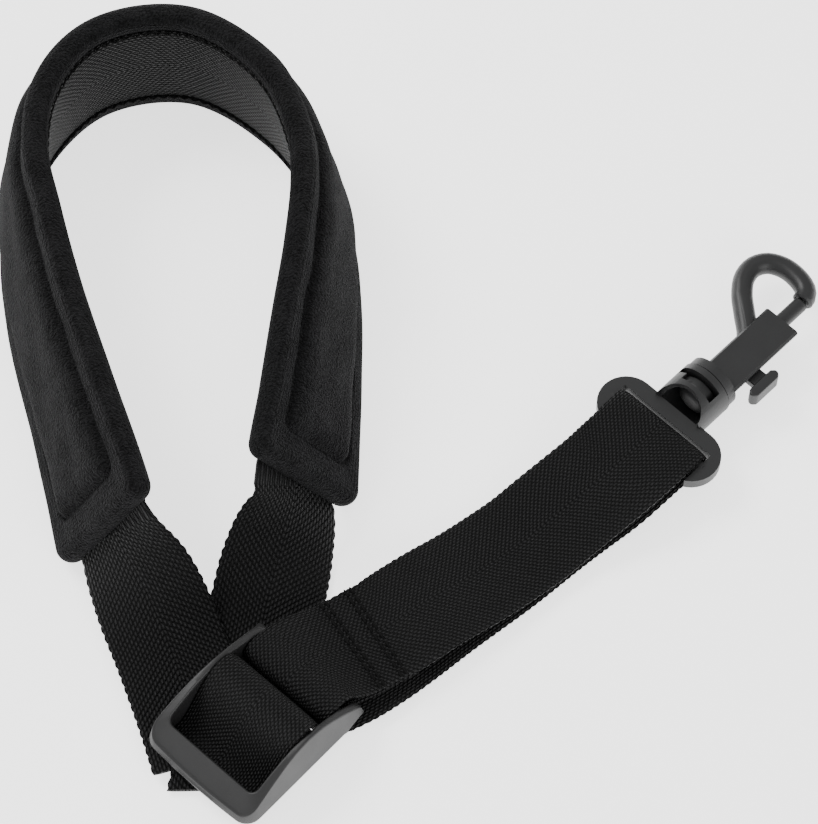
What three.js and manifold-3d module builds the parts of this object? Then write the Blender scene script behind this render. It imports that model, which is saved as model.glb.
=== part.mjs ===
// Saxophone neck strap lying on a table: padded neck loop, webbing legs, slide adjuster, swivel hook.
// Millimetres, +X right, +Y away from the viewer, +Z up, table at z = 0.
import * as THREE from 'three';
import Module from 'manifold-3d';

const wasm = await Module();
wasm.setup();

// ---- driving dimensions -------------------------------------------------------------------
const CLEAR = 0.3;                 // gap left between separate pieces
const STEP = 6;                    // length of one sweep segment on the long soft pieces
const SPAN = 9;                    // widest facet across a soft piece
const STRAP = { width: 34, thick: 1.6 };
const THREAD = { width: 1.2, thick: 0.45, sink: 0.3 };

// Pad section: width up the loop, thickness outward. The cover is a channel that holds the foam.
const PAD = { width: 46, skin: 1.5, rim: 6.2, crown: 9.6, border: 8, lining: 1, bind: 1.6 };

// Neck pad: foot line on the table [x, y] and lean of the band in degrees (90 = standing upright)
const PAD_ROUTE = [
  [-102, -53, 55], [-111, -12, 62], [-119, 18, 65], [-124, 47, 69], [-124, 71, 76],
  [-116, 95, 84], [-99, 113, 89], [-72, 117, 90], [-46, 100, 88], [-30, 77, 80],
  [-24, 60, 74], [-21, 38, 68], [-20, 13, 62], [-20, -14, 57], [-20, -36, 52],
];

// Webbing legs below the pad: centre line [x, y, z] and lean
const LEFT_LEG = [
  [-58.6, -119, 2.8, 0], [-62.5, -107, 2.8, 0], [-66.8, -95, 2.8, 0], [-73, -79, 3.4, 2],
  [-80, -64.5, 10.5, 27],
];
const RIGHT_LEG = [
  [-35.3, -40.5, 15.5, 50], [-38.5, -51, 9, 30], [-42.2, -65, 2.6, 6], [-45.2, -82, 1.1, 0],
  [-48.6, -101, 1, 0], [-53.4, -128, 1, 0],
];

// Slide adjuster: where its outer bar stands on the legs, and which way it points
const SLIDER_AT = { x: -62.7, y: -128.4, z: 4.3, yaw: 47.5 };
const SLIDER = {
  foot: 21.5, head: 18.7, high: 14.2, inner: STRAP.width / 2 + CLEAR, corner: 5, tail: 50,
  barA: 8, underA: 2.4,
};
const SLIDER_ARCH = [           // side view of the rails: [along, up]
  [0, 0], [42, 0], [48, 1.6], [50, 3], [50, 4.6], [48.5, 6.2], [46, 7.8], [42.5, 9.7], [38.5, 11.6],
  [34, 13.2], [29, 14.1], [24, 14], [19.5, 13], [15, 11.4], [11, 9.8], [7.5, 8.4], [4.5, 7],
  [2.2, 5.8], [0.8, 4.6], [0, 3],
];
const BAR_C = [[25, 9], [31.8, 9], [33, 10.6], [32, 12.4], [29.4, 13.1], [26.4, 12.5], [24.6, 10.6]];
const BAR_B = [
  [41.6, 3.5], [44.3, 3.5], [45, 4.2], [45, 6.8], [44.2, 7.5], [41.7, 7.5], [41, 6.8], [41, 4.2],
];

// Strap through the slider, in slider coordinates: [along, to the right, height above table, turn]
const TAB = [[0.8, 0, 4.8, 0], [7.4, 0, 4.8, 0]];
const PAYOUT = [[7.7, 0, 4.8, 0], [10, 0, 4.8, 0]];
const HUMP = [
  [10.3, 0, 4.8, 0], [13, 0, 5.4, 0], [16, 0, 8.2, 0], [19.5, 0, 12.6, 0], [23, 0, 16.2, 0],
  [26.5, 0, 18.2, 0], [30, 0, 18.7, 0], [33.2, 0, 17.7, 0], [34.9, 0, 14.8, 0], [35.7, 0, 11.2, 0],
  [36.4, 0, 7.4, 0], [37.8, 0.1, 4.6, 3], [40.4, 0.9, 3, 11], [44, 2.5, 2.9, 19],
];
const LOOP = [
  [75.5, 7.8, 5.4, 16], [70, 6.1, 5.4, 16], [62, 3.8, 5.4, 14], [54, 1.1, 5.8, 10],
  [49, 0, 6.3, 0], [45, 0, 6.4, 0], [41.7, 0, 6.5, 0], [39.8, 0, 7.3, 0], [39, 0, 9.7, 0],
  [39.7, 0, 12.3, 0], [41.7, 0, 13.3, 0], [44.3, 0, 13.3, 0], [48.8, 0, 12.2, 0], [54, 1.1, 10.2, 10],
  [58.5, 2.8, 8.4, 13], [62.5, 3.9, 7.35, 14], [70, 6.1, 7.3, 16], [75.5, 7.8, 7.3, 16],
];
const STITCH_ROWS = [              // rows through the loop: [along, to the right, height]
  [63.5, 4.2, 7.6], [71, 6.4, 7.4],
];

// Free runs between slider and hook ring: centre line [x, y, z]
const LOWER_RUN = [
  [-20, -92.3, 3], [-11, -86, 2.4], [-3.5, -79.6, 1.3], [9, -69, 1], [27, -54.6, 1],
  [42, -41.6, 1.2], [51, -34.6, 2.1], [59, -29, 3.9],
];
const UPPER_RUN = [
  [1, -72.8, 6.9], [9, -67, 6.2], [18, -60.8, 5.1], [27, -54, 4.2], [36, -47, 4], [43, -41, 4.8],
  [51, -34.8, 7], [59, -29, 10],
];

// Swivel hook: centre of the ring, height of the swivel axis and its direction
const HOOK_AT = { x: 76.8, y: -12.4, z: 9.5, yaw: 45.5 };
const RING = { half: 22.6, reach: 9.4, thick: 4, bar: 2.2, barAt: -0.6, slotEnd: 17.8, slotTo: 4.1 };
const BARREL = { r: 9.3, from: 8.4, to: 22.3, bore: 7.5, wall: 2.1, hole: 4.3 };
const SHANK = { r: 4, head: 6.4, headFrom: 14.2, headTo: 19.6 };
const COLLAR = { r: 8.9, from: 22.7, to: 25.8 };
const BLOCK = { from: 25.4, to: 55, right: 8.6 };
const BLOCK_SECTION = [         // across the hook's block: [to the left, up]
  [-5.1, -4.2], [4, -4.2], [5, -3.2], [4.5, 3.4], [3.7, 4.2], [-7.8, 4.2], [-8.5, 3.5], [-8.3, 2.2],
  [-5.9, -3.4],
];
const BOLT = { r: 2.5, bore: 2.65, side: 0.85, from: 31.8, to: 66, seat: 21.6 };
const SPRING = { wire: 0.25, coil: 1.9, from: 22.2, to: 31.2, turns: 5 };
const TAB_STEM = { from: 32.4, to: 38.2, half: 1.5, slotFrom: 26.8 };
const TAB_BAR = { from: 28.4, to: 40.6, near: 10.9, far: 14.4, half: 3 };
const ROD = 3.45;
const HOOK_ROD = [             // hook bow, in hook coordinates [along, right]
  [43, -1.5], [46.5, -4.6], [50.5, -9.4], [55.5, -14.8], [60.5, -18.2], [65.5, -18.9], [69.8, -16.6],
  [72.2, -11.6], [72.2, -6], [70.7, -1.6], [68.6, 0.2], [66.9, 0.6],
];
const BIGHT = { r: RING.bar + CLEAR + STRAP.thick / 2, tail: 13.3, drop: 0.35 };

// ---- materials ----------------------------------------------------------------------------
const cloth = (c) => new THREE.MeshStandardMaterial({ color: c, roughness: 0.95 });
const MATERIALS = {
  pad_fabric: cloth(0x1c1c1c), foam: cloth(0x3a3a3a), webbing: cloth(0x1a1a1a),
  thread: cloth(0x111111),
  plastic: new THREE.MeshStandardMaterial({ color: 0x333333, roughness: 0.6 }),
  steel: new THREE.MeshStandardMaterial({ color: 0x9a9a9a, roughness: 0.3, metalness: 1 }),
};

// ---- helpers ------------------------------------------------------------------------------
const V = (x, y, z) => new THREE.Vector3(x, y, z);
const UP = V(0, 0, 1);
const group = new THREE.Group();
group.name = 'sax_neck_strap';

// Closed body through rings of equal length; section is the 2-D outline that caps both ends.
function loft(rings, section) {
  if (THREE.ShapeUtils.isClockWise(section)) {
    return loft(rings.map((r) => r.toReversed()), section.toReversed());
  }
  const n = section.length;
  const pos = rings.flat().flatMap((p) => [p.x, p.y, p.z]);
  const tri = [];
  for (let i = 0; i + 1 < rings.length; i++) {
    for (let j = 0; j < n; j++) {
      const a = i * n + j, b = i * n + (j + 1) % n;
      tri.push(a, b, b + n, a, b + n, a + n);
    }
  }
  const last = (rings.length - 1) * n;
  for (const [a, b, c] of THREE.ShapeUtils.triangulateShape(section, [])) {
    tri.push(c, b, a, last + a, last + b, last + c);
  }
  return orient(pos, tri);
}

function orient(pos, tri) {
  let six = 0;
  const p = (i) => V(pos[3 * i], pos[3 * i + 1], pos[3 * i + 2]);
  for (let i = 0; i < tri.length; i += 3) {
    six += p(tri[i]).dot(p(tri[i + 1]).cross(p(tri[i + 2])));
  }
  if (six < 0) for (let i = 0; i < tri.length; i += 3) [tri[i], tri[i + 1]] = [tri[i + 1], tri[i]];
  const g = new THREE.BufferGeometry();
  g.setAttribute('position', new THREE.Float32BufferAttribute(pos, 3));
  g.setIndex(tri);
  return g;
}

const solid = (g) => new wasm.Manifold(new wasm.Mesh({
  numProp: 3, vertProperties: new Float32Array(g.attributes.position.array),
  triVerts: new Uint32Array(g.index.array),
}));

function skin(m) {
  const mesh = m.getMesh();
  return orient(Array.from(mesh.vertProperties), Array.from(mesh.triVerts));
}

function add(name, geometry, material) {
  geometry.computeVertexNormals();
  const mesh = new THREE.Mesh(geometry, MATERIALS[material]);
  mesh.name = name;
  group.add(mesh);
}

const flat = (pts) => pts.map(([a, b]) => new THREE.Vector2(a, b));

// Prism between two planes across one axis: 'x' takes [y, z] outlines, 'y' [x, z], 'z' [x, y].
function prism(axis, pts, from, to) {
  const at = {
    x: ([a, b], c) => V(c, a, b), y: ([a, b], c) => V(a, c, b), z: ([a, b], c) => V(a, b, c),
  }[axis];
  return solid(loft([from, to].map((c) => pts.map((p) => at(p, c))), flat(pts)));
}

const box = (x0, x1, y0, y1, z0, z1) =>
  prism('z', [[x0, y0], [x1, y0], [x1, y1], [x0, y1]], z0, z1);

function circle(r, count) {
  return Array.from({ length: count }, (_, i) => {
    const a = (i + 0.5) * 2 * Math.PI / count;
    return [r * Math.cos(a), r * Math.sin(a)];
  });
}

// Turned body along x from [x, radius] pairs, centred on side y
function turned(profile, count, y = 0) {
  const ring = ([x, r]) => circle(r, count).map(([a, b]) => V(x, y + a, b));
  return solid(loft(profile.map(ring), flat(circle(1, count))));
}

// Frames along a curve: t travels, w lies across the band (leaned up on its right), v is its face.
function frames(points, leans, step) {
  const curve = new THREE.CatmullRomCurve3(points, false, 'centripetal');
  const lean = new THREE.CatmullRomCurve3(points.map((p, i) => V(i, leans[i], 0)));
  const count = Math.max(1, Math.ceil(curve.getLength() / step));
  return Array.from({ length: count + 1 }, (_, i) => {
    const u = curve.getUtoTmapping(i / count);
    const t = curve.getTangent(u);
    const k = lean.getPoint(u).y * Math.PI / 180;
    const side = V(t.y, -t.x, 0).normalize();
    const rise = side.clone().cross(t).normalize();
    const w = side.clone().multiplyScalar(Math.cos(k)).addScaledVector(rise, Math.sin(k));
    const v = rise.clone().multiplyScalar(Math.cos(k)).addScaledVector(side, -Math.sin(k));
    return { p: curve.getPoint(u), t, w, v };
  });
}

const place = (f, a, b) => f.p.clone().addScaledVector(f.w, a).addScaledVector(f.v, b);

// Long edges of a section are divided, so a twisting band stays true between its frames.
function divided(section) {
  return section.flatMap(([a, b], i) => {
    const [c, d] = section[(i + 1) % section.length];
    const parts = Math.ceil(Math.hypot(c - a, d - b) / SPAN);
    return Array.from({ length: parts }, (_, k) => [a + (c - a) * k / parts,
      b + (d - b) * k / parts]);
  });
}

function sweep(fs, outline) {
  const section = divided(outline);
  return loft(fs.map((f) => section.map(([a, b]) => place(f, a, b))), flat(section));
}

const band = (width, low, high, mid = 0) => [
  [mid - width / 2, low], [mid + width / 2, low], [mid + width / 2, high], [mid - width / 2, high]];
const strapSection = band(STRAP.width, -STRAP.thick / 2, STRAP.thick / 2);

// Local frames turned and moved into the layout
const matrixAt = (at, z) => new THREE.Matrix4().makeRotationZ(at.yaw * Math.PI / 180)
  .setPosition(at.x, at.y, z);
const sliderSpot = matrixAt(SLIDER_AT, 0);
const hookSpot = matrixAt(HOOK_AT, HOOK_AT.z);

// Frames of a strap from stations of [centre, heading in plan]; across stays level.
function strapLine(stations, step) {
  const curve = new THREE.CatmullRomCurve3(stations.map((e) => e[0]), false, 'centripetal');
  const heading = new THREE.CatmullRomCurve3(stations.map((e, i) => V(i, e[1], 0)));
  const count = Math.max(1, Math.ceil(curve.getLength() / step));
  return Array.from({ length: count + 1 }, (_, i) => {
    const u = curve.getUtoTmapping(i / count);
    const yaw = heading.getPoint(u).y * Math.PI / 180;
    const w = V(Math.sin(yaw), -Math.cos(yaw), 0), t = curve.getTangent(u);
    return { p: curve.getPoint(u), t, w, v: w.clone().cross(t).normalize() };
  });
}

const sliderStations = (list) => list.map(([s, right, z, turn]) =>
  [V(s, -right, z).applyMatrix4(sliderSpot), SLIDER_AT.yaw - turn]);

function runStations(list) {
  return list.map(([x, y, z], i) => {
    const a = list[Math.max(i - 1, 0)], b = list[Math.min(i + 1, list.length - 1)];
    return [V(x, y, z), Math.atan2(b[1] - a[1], b[0] - a[0]) * 180 / Math.PI];
  });
}

// Cut a line of frames where it passes a point, leaving the usual gap
function cutAt(fs, point) {
  const k = fs.reduce((best, f, i) => f.p.distanceTo(point) < fs[best].p.distanceTo(point)
    ? i : best, 0);
  const start = { ...fs[k], p: fs[k].p.clone().addScaledVector(fs[k].t, CLEAR) };
  return [fs.slice(0, k + 1), [start, ...fs.slice(k + 1)]];
}

const thinned = (fs, every) => fs.filter((_, i) => i % every === 0 || i === fs.length - 1);

// ---- neck pad -----------------------------------------------------------------------------
// Frame origin is the foot of the band; across runs 0..width, face runs outward from the lining.
const padFrames = frames(PAD_ROUTE.map(([x, y]) => V(x, y, 0)), PAD_ROUTE.map((r) => r[2]), STEP);

function padOuterCover() {
  const { width: w, skin: s, rim, crown, border: b } = PAD;
  const out = [[0, 0.6], [0, rim - 1.6], [1.6, rim], [b, rim - 0.9], [b + 3, crown - 0.9],
    [w / 2, crown], [w - b - 3, crown - 0.9], [w - b, rim - 0.9], [w - 1.6, rim],
    [w, rim - 1.6], [w, 0.6], [w - 0.6, 0], [w - s, 0]];
  const inn = [[w - s, rim - s - 0.8], [w - b - 1, rim - s - 0.8], [w - b - 4, crown - s - 0.9],
    [w / 2, crown - s], [b + 4, crown - s - 0.9], [b + 1, rim - s - 0.8], [s, rim - s - 0.8],
    [s, 0], [0.6, 0]];
  return sweep(padFrames, [...out, ...inn]);
}

function padFoamCore() {
  const { width: w, skin: s, rim, crown, border: b, lining } = PAD;
  const g = s + CLEAR, low = lining + CLEAR, top = crown - s - CLEAR;
  return sweep(padFrames.slice(1, -1), [[g, low], [w - g, low], [w - g, rim - g - 0.8],
    [w - b - 1, rim - g - 0.8], [w - b - 4, top - 0.9], [w / 2, top], [b + 4, top - 0.9],
    [b + 1, rim - g - 0.8], [g, rim - g - 0.8]]);
}

function padInnerLining() {
  const g = PAD.skin + CLEAR;
  return sweep(padFrames, band(PAD.width - 2 * g, 0, PAD.lining, PAD.width / 2));
}

// Folded fabric that closes one open end of the cover
function endBinding(frame, way) {
  const from = { ...frame, p: frame.p.clone().addScaledVector(frame.t, way * CLEAR) };
  const to = { ...frame, p: frame.p.clone().addScaledVector(frame.t, way * (CLEAR + PAD.bind)) };
  const { width: w, rim } = PAD;
  const outline = (k) => [[2 + k, 1.4], [w - 2 - k, 1.4], [w - k, 2], [w - k, rim - 2],
    [w - 2.5 - k, rim - 0.4 - k / 2], [2.5 + k, rim - 0.4 - k / 2], [k, rim - 2], [k, 2]];
  const ring = (f, k) => outline(k).map(([a, b]) => place(f, a, b));
  return loft([ring(from, 0), ring(to, 0.8)], flat(outline(0)));
}

function edgeStitching(across) {
  const top = -CLEAR - STRAP.thick - THREAD.sink;
  return sweep(padFrames.slice(2, -2), band(THREAD.width, top - THREAD.thick, top, across));
}

add('pad_outer_cover', padOuterCover(), 'pad_fabric');
add('pad_foam_core', padFoamCore(), 'foam');
add('pad_inner_lining', padInnerLining(), 'pad_fabric');
add('left_end_binding', endBinding(padFrames[0], -1), 'pad_fabric');
add('right_end_binding', endBinding(padFrames.at(-1), 1), 'pad_fabric');

// ---- neck webbing: one length from leg end to leg end along the inside of the pad ------------
const webLift = -CLEAR - STRAP.thick / 2;
const padWeb = padFrames.map((f) => ({ ...f, p: place(f, PAD.width / 2, webLift) }));

function legFrames(leg, end, first) {
  const pts = leg.map(([x, y, z]) => V(x, y, z));
  const leans = leg.map((r) => r[3]);
  const endLean = PAD_ROUTE.at(first ? 0 : -1)[2];
  if (first) return frames([...pts, end.p], [...leans, endLean], STEP).slice(0, -1);
  return frames([end.p, ...pts], [endLean, ...leans], STEP).slice(1);
}

const webFrames = [
  ...legFrames(LEFT_LEG, padWeb[0], true), ...padWeb, ...legFrames(RIGHT_LEG, padWeb.at(-1), false),
];
add('neck_webbing', sweep(webFrames, strapSection), 'webbing');
const seam = STRAP.width / 2 - 3;
add('upper_edge_stitching', edgeStitching(PAD.width / 2 + seam), 'thread');
add('lower_edge_stitching', edgeStitching(PAD.width / 2 - seam), 'thread');

// ---- adjuster strap: one length, cut where its parts move differently --------------------------
function bightFrames() {
  const turn = 12, r = BIGHT.r, end = RING.barAt - BIGHT.tail;
  const arc = Array.from({ length: turn + 1 }, (_, i) => (i / turn - 0.5) * Math.PI);
  const pts = [[end, -r + BIGHT.drop], ...arc.map((a) => [RING.barAt + r * Math.cos(a),
    r * Math.sin(a)]), [end, r - BIGHT.drop]].map(([x, z]) => V(x, 0, z).applyMatrix4(hookSpot));
  const w = V(0, -1, 0).transformDirection(hookSpot);
  return pts.map((p, i) => {
    const t = pts[Math.min(i + 1, pts.length - 1)].clone().sub(pts[Math.max(i - 1, 0)]).normalize();
    return { p, t, w, v: w.clone().cross(t).normalize() };
  });
}

// Thread laid across a strap at one distance along the slider
function crossRow([along, right, height]) {
  const half = STRAP.width / 2 - 1.5, z0 = height + STRAP.thick / 2 + THREAD.sink;
  const row = box(along, along + THREAD.width, -right - half, -right + half, z0, z0 + THREAD.thick);
  return skin(row).applyMatrix4(sliderSpot);
}

const bight = bightFrames();
const hump = sliderStations(HUMP), loop = sliderStations(LOOP);
const bightEnd = (f) => [f.p.clone().add(V(-CLEAR, -CLEAR, 0)), HOOK_AT.yaw];
const FINE = 1.5;
const [humpFrames, lowerFrames] = cutAt(
  strapLine([...hump, ...runStations(LOWER_RUN), bightEnd(bight[0])], FINE), hump.at(-1)[0]);
const [loopFrames, upperFrames] = cutAt(
  strapLine([...loop, ...runStations(UPPER_RUN), bightEnd(bight.at(-1))], FINE), loop.at(-1)[0]);

add('adjuster_root_tab', sweep(strapLine(sliderStations(TAB), STEP), strapSection), 'webbing');
add('adjuster_payout', sweep(strapLine(sliderStations(PAYOUT), STEP), strapSection), 'webbing');
add('adjuster_hump', sweep(humpFrames, strapSection), 'webbing');
add('lower_run', sweep(thinned(lowerFrames, 4), strapSection), 'webbing');
add('strap_bight', sweep(bight, strapSection), 'webbing');
add('upper_run', sweep(thinned(upperFrames, 4), strapSection), 'webbing');
add('sewn_loop', sweep(loopFrames, strapSection), 'webbing');
add('root_stitching', crossRow([4, 0, TAB[0][2]]), 'thread');
STITCH_ROWS.forEach((row, i) => add(`loop_stitch_row_${i + 1}`, crossRow(row), 'thread'));

// ---- slide adjuster frame: one moulding with three cross bars ----------------------------------
function sliderFrame() {
  const { foot, head, high, inner, corner, tail, barA, underA } = SLIDER;
  const rails = prism('y', SLIDER_ARCH, -foot, foot);
  const draft = prism('x', [[-foot, 0], [foot, 0], [head, high], [-head, high]], -1, tail + 1);
  const k = corner * 0.3;
  const plan = prism('z', [[0, -foot + corner], [k, -foot + k], [corner, -foot], [tail, -foot],
    [tail, foot], [corner, foot], [k, foot - k], [0, foot - corner]], -1, high + 1);
  const window = box(barA, tail + 1, -inner, inner, -1, high + 1);
  const below = box(-1, barA + 1, -inner, inner, -1, underA);
  let frame = rails.intersect(draft).intersect(plan).subtract(window).subtract(below);
  for (const bar of [BAR_C, BAR_B]) frame = frame.add(prism('y', bar, -inner - 1, inner + 1));
  return skin(frame).applyMatrix4(matrixAt(SLIDER_AT, SLIDER_AT.z));
}

add('slider_frame', sliderFrame(), 'plastic');

// ---- swivel base: strap ring and hollow barrel in one moulding ----------------------------------
const atHook = (m) => skin(m).applyMatrix4(hookSpot);

function stadium(halfLong, halfShort) {
  const r = halfShort, c = halfLong - r;
  const arc = (from, mid) => Array.from({ length: 17 }, (_, i) => {
    const a = from + i * Math.PI / 16;
    return [r * Math.cos(a), mid + r * Math.sin(a)];
  });
  return [...arc(0, c), ...arc(Math.PI, -c)];
}

function swivelBase() {
  const { half, reach, thick, bar, barAt, slotEnd, slotTo } = RING;
  const h = thick / 2;
  const plate = prism('z', stadium(half, reach), -h, h);
  const slot = box(-reach - 1, slotTo, -slotEnd, slotEnd, -h - 1, h + 1);
  const roundBar = prism('y', circle(bar, 20).map(([a, b]) => [a + barAt, b]), -slotEnd - 1,
    slotEnd + 1);
  const outer = turned([[BARREL.from, BARREL.r], [BARREL.to, BARREL.r]], 36);
  const bore = turned([[BARREL.from - 2, BARREL.bore], [BARREL.to - BARREL.wall, BARREL.bore]], 36);
  const neck = turned([[BARREL.to - 4, BARREL.hole], [BARREL.to + 1, BARREL.hole]], 24);
  const mouth = prism('z', circle(1, 24).map(([a, b]) => [BARREL.from + a * 5.4, b * 8.2]), 1.5, 12);
  const port = prism('z', [[15.4, -6.6], [20, -6.6], [20, 8.4], [17.8, 8.4], [17.8, 5], [15.4, 5]],
    1.5, 12);
  const plateKeep = plate.subtract(slot).subtract(
    turned([[BARREL.from + 0.6, BARREL.bore], [BARREL.to, BARREL.bore]], 36));
  return atHook(outer.subtract(bore).subtract(neck).subtract(mouth).subtract(port)
    .add(plateKeep).add(roundBar));
}

add('swivel_base', swivelBase(), 'plastic');

// ---- hook ----------------------------------------------------------------------------------------
function swivelHead() {
  const { r, head, headFrom, headTo } = SHANK;
  const dome = turned([[headFrom, head * 0.35], [headFrom + 1, head * 0.75],
    [headFrom + 2.6, head], [headTo, head]], 28);
  return atHook(dome.subtract(turned([[headFrom + 2.8, r + 0.05], [headTo + 1, r + 0.05]], 24)));
}

function rodBow() {
  const pts = HOOK_ROD.map(([a, right]) => V(a, -right, 0));
  const fs = frames(pts, pts.map(() => 0), 1.6);
  const tip = fs.at(-1);
  const ring = (f, r) => circle(r, 20).map(([a, b]) => place(f, a, b));
  const end = { ...tip, p: tip.p.clone().addScaledVector(tip.t, 0.6) };
  return solid(loft([...fs.map((f) => ring(f, ROD)), ring(end, ROD * 0.84)], flat(circle(1, 20))));
}

function hookBody() {
  const { from, to, right } = BLOCK;
  const block = prism('x', BLOCK_SECTION, from, to);
  const collar = turned([[COLLAR.from, COLLAR.r], [COLLAR.to, COLLAR.r]], 36);
  const shank = turned([[SHANK.headFrom + 3.1, SHANK.r], [COLLAR.from + 1, SHANK.r]], 24);
  const bore = turned([[BOLT.seat, BOLT.bore], [to + 1, BOLT.bore]], 24, -BOLT.side);
  const slot = box(TAB_STEM.slotFrom, TAB_STEM.to + CLEAR, -right - 1, -BOLT.side,
    -TAB_STEM.half - CLEAR, TAB_STEM.half + CLEAR);
  const socket = turned([[to, BOLT.r + CLEAR], [BOLT.to + CLEAR, BOLT.r + CLEAR]], 24, -BOLT.side);
  return atHook(block.add(collar).add(shank).add(rodBow()).subtract(bore).subtract(slot)
    .subtract(socket));
}

function latchBolt() {
  const body = turned([[BOLT.from, BOLT.r - 0.3], [BOLT.from + 0.4, BOLT.r],
    [BOLT.to - 0.6, BOLT.r], [BOLT.to, BOLT.r - 0.5]], 24, -BOLT.side);
  const pocket = box(TAB_STEM.from - 0.05, TAB_STEM.to + 0.05, -9, -BOLT.side,
    -TAB_STEM.half - 0.05, TAB_STEM.half + 0.05);
  return atHook(body.subtract(pocket));
}

function thumbTab() {
  const { from, to, half } = TAB_STEM;
  const stem = box(from, to, -TAB_BAR.near - 1, -BOLT.side - 0.1, -half, half);
  const outline = [[TAB_BAR.from, -TAB_BAR.near - 1.2], [TAB_BAR.from + 1.2, -TAB_BAR.near],
    [TAB_BAR.to - 1.2, -TAB_BAR.near], [TAB_BAR.to, -TAB_BAR.near - 1.2],
    [TAB_BAR.to, -TAB_BAR.far + 1.2], [TAB_BAR.to - 1.2, -TAB_BAR.far],
    [TAB_BAR.from + 1.2, -TAB_BAR.far], [TAB_BAR.from, -TAB_BAR.far + 1.2]];
  return atHook(stem.add(prism('z', outline, -TAB_BAR.half, TAB_BAR.half)));
}

function boltSpring() {
  const { wire, coil, from, to, turns } = SPRING;
  const per = 12, count = turns * per;
  const rings = Array.from({ length: count + 1 }, (_, i) => {
    const a = i / per * 2 * Math.PI;
    const x = from + wire + (to - from - 2 * wire) * i / count;
    return circle(wire, 6).map(([u, k]) => V(x + k, -BOLT.side + (coil + u) * Math.cos(a),
      (coil + u) * Math.sin(a)));
  });
  return loft(rings, flat(circle(1, 6))).applyMatrix4(hookSpot);
}

add('swivel_head', swivelHead(), 'plastic');
add('hook_body', hookBody(), 'plastic');
add('latch_bolt', latchBolt(), 'plastic');
add('thumb_tab', thumbTab(), 'plastic');
add('bolt_spring', boltSpring(), 'steel');

// ---- stand the layout over the origin: footprint centred, lowest point at z = 0 --------------------
const bounds = new THREE.Box3().setFromObject(group);
const middle = bounds.getCenter(V(0, 0, 0));
for (const mesh of group.children) mesh.geometry.translate(-middle.x, -middle.y, -bounds.min.z);

export default group;
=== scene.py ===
# Saxophone neck strap on a table: plush neck pad, webbing legs, slide adjuster and swivel hook.
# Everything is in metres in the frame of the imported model; route lists are in millimetres.
import math
import bmesh
import bpy
import numpy as np
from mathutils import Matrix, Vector


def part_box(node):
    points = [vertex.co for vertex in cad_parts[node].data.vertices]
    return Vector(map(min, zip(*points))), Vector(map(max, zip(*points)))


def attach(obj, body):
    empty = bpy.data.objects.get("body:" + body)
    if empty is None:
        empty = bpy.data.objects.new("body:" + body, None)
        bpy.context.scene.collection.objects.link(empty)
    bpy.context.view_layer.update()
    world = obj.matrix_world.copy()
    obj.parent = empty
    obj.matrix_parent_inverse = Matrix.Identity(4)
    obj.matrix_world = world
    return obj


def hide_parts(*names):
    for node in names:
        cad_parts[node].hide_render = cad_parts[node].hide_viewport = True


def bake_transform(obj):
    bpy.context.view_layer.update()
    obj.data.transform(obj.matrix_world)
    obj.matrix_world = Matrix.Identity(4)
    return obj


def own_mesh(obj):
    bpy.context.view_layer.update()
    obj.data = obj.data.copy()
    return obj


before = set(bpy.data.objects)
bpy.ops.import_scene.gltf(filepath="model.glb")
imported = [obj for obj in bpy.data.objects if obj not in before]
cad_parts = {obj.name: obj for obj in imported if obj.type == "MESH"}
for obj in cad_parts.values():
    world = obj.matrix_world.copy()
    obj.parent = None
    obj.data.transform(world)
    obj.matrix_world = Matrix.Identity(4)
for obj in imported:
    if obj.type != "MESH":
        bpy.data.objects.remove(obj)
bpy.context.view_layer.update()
MM = 0.001

# --- Camera -------------------------------------------------------------------------------------
# A long lens one metre off, looking away from the viewer and down at the table at sixty degrees.
# It looks at the zero of the route lists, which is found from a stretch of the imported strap.
SLIDER_AT = (-62.7, -128.4)                    # outer bar of the slide adjuster on its axis
SLIDER_YAW = 47.5
PAYOUT_MIDDLE = (8.85, 0.0, 4.8)               # middle of the pay-out piece along that axis


def turned(x, right, yaw):
    """A point (along, to the right) turned to a heading in plan."""
    a = math.radians(yaw)
    return np.array([x * math.cos(a) + right * math.sin(a), x * math.sin(a) - right * math.cos(a)])


def middle(node_name):
    """Middle of a CAD solid's box."""
    low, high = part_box(node_name)
    return (np.array(low) + np.array(high)) / 2


laid_out = np.append(np.array(SLIDER_AT) + turned(*PAYOUT_MIDDLE[:2], SLIDER_YAW),
                     PAYOUT_MIDDLE[2]) * MM
SHIFT = middle("adjuster_payout") - laid_out   # from the routes' own zero to the model's origin

CAMERA_AWAY = 1.0
CAMERA_UP = math.radians(60)
CAMERA_LENS, CAMERA_SENSOR = 139.8, 36
camera_data = bpy.data.cameras.new("camera")
camera_data.lens, camera_data.sensor_width = CAMERA_LENS, CAMERA_SENSOR
camera = bpy.data.objects.new("camera", camera_data)
camera.location = Vector(SHIFT) + CAMERA_AWAY * Vector((0, -math.cos(CAMERA_UP), math.sin(CAMERA_UP)))
camera.rotation_euler = (math.pi / 2 - CAMERA_UP, 0, 0)
bpy.context.scene.collection.objects.link(camera)
bpy.context.scene.camera = camera

# --- Table and light ----------------------------------------------------------------------------
# A plain white table under large soft lamps, so the black cloth shows its nap and hardly a shadow.


def put(name, mesh, material=None):
    """A new object at the origin, in the scene, with one material."""
    obj = bpy.data.objects.new(name, mesh)
    bpy.context.scene.collection.objects.link(obj)
    if material:
        mesh.materials.clear()
        mesh.materials.append(material)
    return obj


def material_of(name, **sockets):
    """A Principled material with plain values set on its own sockets; returns it, tree and shader."""
    mat = bpy.data.materials.new(name)
    mat.use_nodes = True
    shader = mat.node_tree.nodes["Principled BSDF"]
    for key, value in sockets.items():
        shader.inputs[key.replace("_", " ")].default_value = value
    return mat, mat.node_tree, shader


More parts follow.
